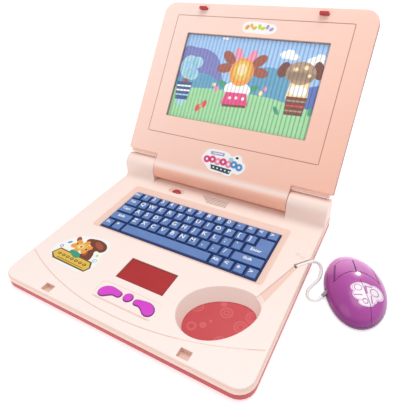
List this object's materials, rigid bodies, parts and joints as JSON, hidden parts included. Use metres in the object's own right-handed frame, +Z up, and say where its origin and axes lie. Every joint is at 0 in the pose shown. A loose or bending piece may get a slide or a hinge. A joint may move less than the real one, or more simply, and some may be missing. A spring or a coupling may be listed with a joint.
{
  "type": "toy laptop computer",
  "caption": "Open clamshell toy laptop in pink and red plastic: ribbed picture screen, moulded keyboard, touchpad, feature buttons, mouse bay and a corded egg-shaped toy mouse.",
  "frame": {"origin": "centre of the box round the open laptop and its mouse (cord and sleeve left out), on the table", "axes": "+X to the right along the hinge, +Y from the front edge to the hinge, +Z up"},
  "size_m": [0.3566, 0.3638, 0.216],
  "materials": {
    "shell": "satin moulded ABS, pale peach pink",
    "red": "satin moulded ABS, coral red",
    "pad": "fine matt, dark red",
    "key": "satin, mid blue with printed legends",
    "magenta": "gloss, magenta",
    "mouse": "high gloss, magenta purple",
    "dark": "matt black",
    "board": "circuit board laminate, green",
    "rubber": "matt",
    "clear": "clear, ribbed face",
    "picture": "printed card, gloss",
    "grey": "matt grey",
    "cord": "satin white vinyl",
    "relief": "matt grey vinyl",
    "steel": "plated",
    "cell": "satin sleeve"
  },
  "bodies": {
    "base": {"base_top_shell": "shell", "base_bottom_shell": "red", "battery_door": "red", "battery_door_screw": "steel", "battery_cell_1": "cell", "battery_cell_2": "cell", "battery_cell_3": "cell", "battery_contact_left": "steel", "battery_contact_right": "steel", "touchpad_panel": "pad", "button_board": "board", "power_switch_body": "dark", "speaker": "dark", "main_board": "board", "keyboard_tray": "grey", "keyboard_board": "board", "keyboard_membrane": "rubber", "rubber_foot_1": "rubber", "rubber_foot_2": "rubber", "rubber_foot_3": "rubber", "rubber_foot_4": "rubber", "base_screw_1": "steel", "base_screw_2": "steel", "base_screw_3": "steel", "base_screw_4": "steel", "hinge_pin_left": "steel", "hinge_pin_right": "steel", "mouse_cord": "cord"},
    "lid": {"lid_front_cover": "shell", "lid_back_cover": "red", "screen_window": "clear", "screen_picture": "picture", "screen_backing": "grey", "latch_hook_left": "red", "latch_hook_right": "red", "lid_screw_1": "steel", "lid_screw_2": "steel", "lid_screw_3": "steel", "lid_screw_4": "steel"},
    "mouse": {"mouse_bottom_shell": "mouse", "mouse_top_shell": "mouse", "mouse_lens": "clear", "mouse_board": "board", "mouse_screw": "steel", "mouse_strain_relief": "relief"},
    "left_wing_button_body": {"left_wing_button": "magenta"},
    "centre_button_body": {"centre_button": "magenta"},
    "right_wing_button_body": {"right_wing_button": "magenta"},
    "power_switch_knob_body": {"power_switch_knob": "red"},
    "mouse_left_button_body": {"mouse_left_button": "mouse"},
    "mouse_right_button_body": {"mouse_right_button": "mouse"},
    "bottom_left_keys_body": {"bottom_left_keys": "key"},
    "space_bar_body": {"space_bar": "key"},
    "bottom_right_keys_body": {"bottom_right_keys": "key"},
    "shift_row_keys_body": {"shift_row_keys": "key"},
    "home_row_keys_body": {"home_row_keys": "key"},
    "qwerty_row_keys_body": {"qwerty_row_keys": "key"},
    "number_row_keys_body": {"number_row_keys": "key"},
    "enter_key_body": {"enter_key": "key"}
  },
  "joints": [
    {"name": "lid_hinge", "type": "hinge", "parent": "base", "child": "lid", "pos_m": [-0.03833, 0.04474, 0.0303], "axis": [1, 0, 0], "range_deg": [-8, 127.4]},
    {"name": "left_wing_button_press", "type": "slide", "parent": "base", "child": "left_wing_button_body", "axis": [0, 0, -1], "range_m": [0, 0.001], "stiffness_N_per_m": 900, "springref_m": -0.0008},
    {"name": "centre_button_press", "type": "slide", "parent": "base", "child": "centre_button_body", "axis": [0, 0, -1], "range_m": [0, 0.001], "stiffness_N_per_m": 900, "springref_m": -0.0008},
    {"name": "right_wing_button_press", "type": "slide", "parent": "base", "child": "right_wing_button_body", "axis": [0, 0, -1], "range_m": [0, 0.001], "stiffness_N_per_m": 900, "springref_m": -0.0008},
    {"name": "power_switch_slide", "type": "slide", "parent": "base", "child": "power_switch_knob_body", "axis": [1, 0, 0], "range_m": [-0.003, 0.003]},
    {"name": "bottom_left_keys_press", "type": "slide", "parent": "base", "child": "bottom_left_keys_body", "axis": [0, 0, -1], "range_m": [0, 0.0012], "stiffness_N_per_m": 900, "springref_m": -0.0008},
    {"name": "space_bar_press", "type": "slide", "parent": "base", "child": "space_bar_body", "axis": [0, 0, -1], "range_m": [0, 0.0012], "stiffness_N_per_m": 900, "springref_m": -0.0008},
    {"name": "bottom_right_keys_press", "type": "slide", "parent": "base", "child": "bottom_right_keys_body", "axis": [0, 0, -1], "range_m": [0, 0.0012], "stiffness_N_per_m": 900, "springref_m": -0.0008},
    {"name": "shift_row_keys_press", "type": "slide", "parent": "base", "child": "shift_row_keys_body", "axis": [0, 0, -1], "range_m": [0, 0.0012], "stiffness_N_per_m": 900, "springref_m": -0.0008},
    {"name": "home_row_keys_press", "type": "slide", "parent": "base", "child": "home_row_keys_body", "axis": [0, 0, -1], "range_m": [0, 0.0012], "stiffness_N_per_m": 900, "springref_m": -0.0008},
    {"name": "qwerty_row_keys_press", "type": "slide", "parent": "base", "child": "qwerty_row_keys_body", "axis": [0, 0, -1], "range_m": [0, 0.0012], "stiffness_N_per_m": 900, "springref_m": -0.0008},
    {"name": "number_row_keys_press", "type": "slide", "parent": "base", "child": "number_row_keys_body", "axis": [0, 0, -1], "range_m": [0, 0.0012], "stiffness_N_per_m": 900, "springref_m": -0.0008},
    {"name": "enter_key_press", "type": "slide", "parent": "base", "child": "enter_key_body", "axis": [0, 0, -1], "range_m": [0, 0.0012], "stiffness_N_per_m": 900, "springref_m": -0.0008},
    {"name": "mouse_glide", "type": "slide", "parent": "base", "child": "mouse", "axis": [0.9342, 0.3567, 0], "range_m": [0, 0.015]},
    {"name": "mouse_left_button_click", "type": "slide", "parent": "mouse", "child": "mouse_left_button_body", "axis": [0, 0, -1], "range_m": [0, 0.0008], "stiffness_N_per_m": 900, "springref_m": -0.0008},
    {"name": "mouse_right_button_click", "type": "slide", "parent": "mouse", "child": "mouse_right_button_body", "axis": [0, 0, -1], "range_m": [0, 0.0008], "stiffness_N_per_m": 900, "springref_m": -0.0008}
  ]
}
